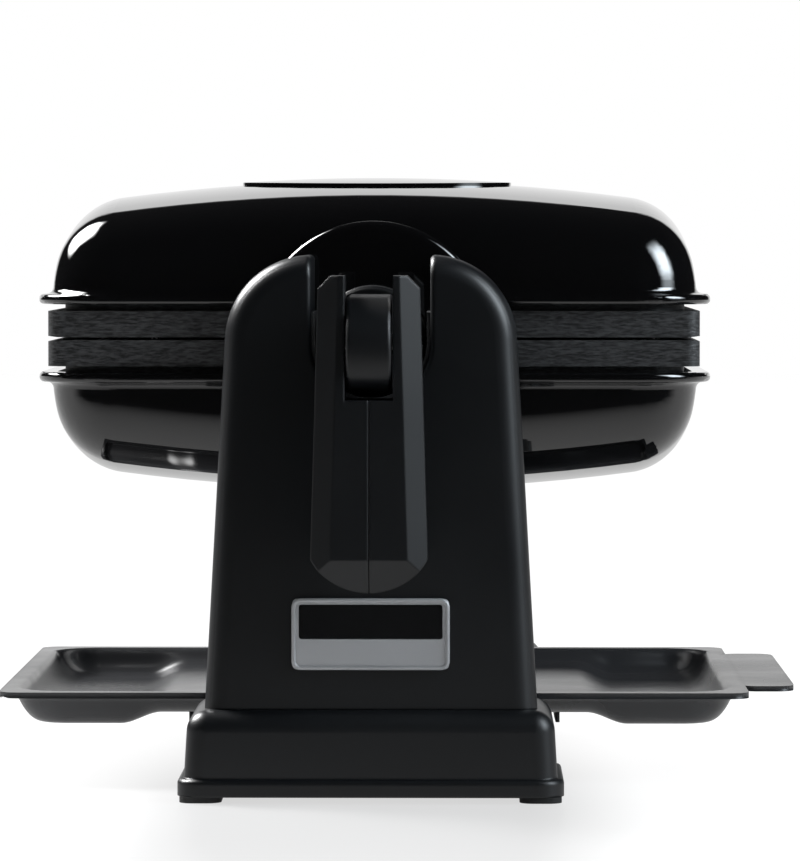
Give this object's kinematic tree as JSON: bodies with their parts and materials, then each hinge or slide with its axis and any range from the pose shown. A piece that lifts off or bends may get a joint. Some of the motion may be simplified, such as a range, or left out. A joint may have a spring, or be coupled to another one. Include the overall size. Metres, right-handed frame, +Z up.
{
  "type": "rotating waffle maker",
  "caption": "Flip-over waffle maker: a two-part iron with waffle-grid plates turns between two towers, with a folding front handle, a heat dial and a pull-out drip tray.",
  "frame": {"origin": "on the table, under the iron's axis, midway between the two towers", "axes": "+Z up, +Y from the handle side to the rear tower along the iron's turning axis, +X to the right, where the tray pulls out"},
  "size_m": [0.3338, 0.4119, 0.2527],
  "materials": {
    "satin_black": "satin moulded plastic with a fine grain",
    "cover_black": "matt moulded plastic",
    "gloss_black": "mirror-gloss moulded heat-proof plastic",
    "cast_plate": "dark non-stick coat on a rough die casting",
    "tray_grey": "satin dark grey",
    "badge_metal": "brushed, with a bright raised border",
    "badge_black": "gloss black inlay, bare",
    "foot_rubber": "soft matt rubber",
    "steel": "zinc-bright steel",
    "heater_steel": "oxidised tube",
    "reflector": "bright pressed sheet",
    "bearing": "dark filled nylon",
    "control_brown": "phenolic body",
    "lamp_red": "clear red lens",
    "lamp_green": "clear green lens"
  },
  "bodies": {
    "stand": {"front_tower": "satin_black", "front_tower_cover": "cover_black", "rear_tower": "satin_black", "rear_tower_cover": "cover_black", "cover_screws": "steel", "front_plinth": "satin_black", "rear_plinth": "satin_black", "front_bottom_plate": "cover_black", "rear_bottom_plate": "cover_black", "rubber_feet": "foot_rubber", "base_bridge": "satin_black", "badge_plate": "badge_metal", "badge_inlay": "badge_black", "cradle_liner": "bearing", "rear_bush": "bearing", "thermostat": "control_brown", "power_lamp": "lamp_red", "ready_lamp": "lamp_green", "cord_gland": "satin_black"},
    "dial": {"temperature_dial": "satin_black", "dial_spindle": "steel"},
    "lower_iron": {"lower_casing": "gloss_black", "lower_crown_panel": "gloss_black", "lower_plate": "cast_plate", "lower_heater": "heater_steel", "lower_reflector": "reflector", "lower_plate_screws": "steel", "lower_neck": "satin_black", "axle_bracket": "steel", "hinge_pins": "steel", "rear_axle": "steel", "retaining_ring": "steel"},
    "upper_iron": {"upper_casing": "gloss_black", "upper_crown_panel": "gloss_black", "upper_plate": "cast_plate", "upper_heater": "heater_steel", "upper_reflector": "reflector", "upper_plate_screws": "steel", "upper_neck": "satin_black", "handle_bracket": "satin_black", "lid_bracket": "steel"},
    "handle": {"handle_right_half": "satin_black", "handle_left_half": "satin_black", "handle_pin": "steel", "handle_screws": "steel"},
    "tray": {"drip_tray": "tray_grey"}
  },
  "joints": [
    {"name": "iron_turn", "type": "hinge", "parent": "stand", "child": "lower_iron", "pos_m": [0, 0, 0.185], "axis": [0, 1, 0], "range_deg": [-180, 0]},
    {"name": "iron_open", "type": "hinge", "parent": "lower_iron", "child": "upper_iron", "pos_m": [0, 0.078, 0.2015], "axis": [-1, 0, 0], "range_deg": [0, 95]},
    {"name": "handle_fold", "type": "hinge", "parent": "upper_iron", "child": "handle", "pos_m": [0, -0.206, 0.185], "axis": [-1, 0, 0], "range_deg": [0, 90]},
    {"name": "tray_pull", "type": "slide", "parent": "stand", "child": "tray", "axis": [1, 0, 0], "range_m": [0, 0.15]},
    {"name": "dial_turn", "type": "hinge", "parent": "stand", "child": "dial", "pos_m": [0, 0.152, 0.22], "axis": [0, 0, -1], "range_deg": [0, 270]}
  ]
}
